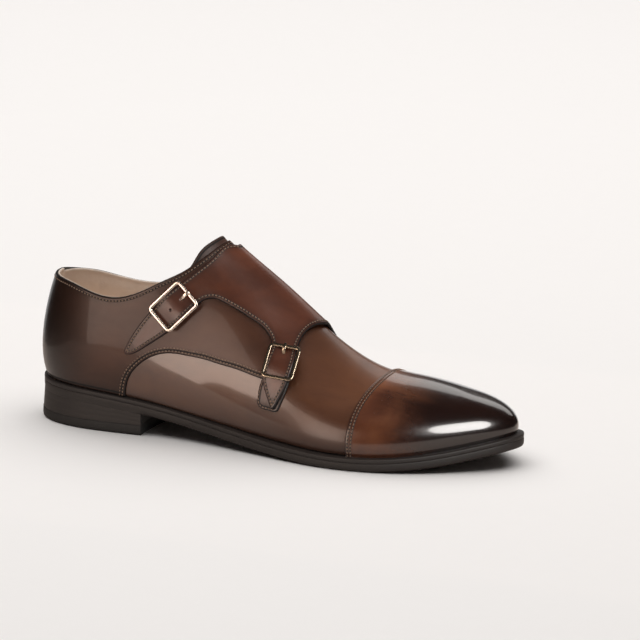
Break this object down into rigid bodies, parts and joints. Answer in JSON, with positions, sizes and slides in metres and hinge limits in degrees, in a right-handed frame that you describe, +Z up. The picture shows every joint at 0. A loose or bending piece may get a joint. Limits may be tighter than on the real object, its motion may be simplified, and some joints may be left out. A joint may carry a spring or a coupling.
{
  "type": "monk strap shoe",
  "caption": "Right men's leather dress shoe with a toe cap, a low heel and two buckled straps over the instep; worn on the foot.",
  "frame": {"origin": "on the floor, under the middle of the shoe's bounding box", "axes": "+X towards the toe, +Y towards the inner side of the foot (the buckles are on the -Y side), +Z up"},
  "size_m": [0.3061, 0.1009, 0.115],
  "materials": {
    "sole_edge": "burnished sole edge",
    "rubber": "matt rubber",
    "lining": "natural lining leather",
    "upper_leather": "polished patina calf",
    "cap_leather": "dark mirror polish",
    "buckle_metal": "pale polished metal"
  },
  "bodies": {
    "root": {"outsole": "sole_edge", "welt": "sole_edge", "heel_stack": "sole_edge", "top_lift": "rubber", "insole": "lining", "upper_heel": "upper_leather", "upper_waist": "upper_leather", "upper_ball": "upper_leather", "upper_toe": "upper_leather", "tongue": "upper_leather", "quarter_outer": "upper_leather", "straps": "upper_leather", "toe_cap": "cap_leather", "buckle_loop_upper": "upper_leather", "buckle_frame_upper": "buckle_metal", "buckle_prong_upper": "buckle_metal", "buckle_loop_lower": "upper_leather", "buckle_frame_lower": "buckle_metal", "buckle_prong_lower": "buckle_metal"}
  },
  "joints": []
}
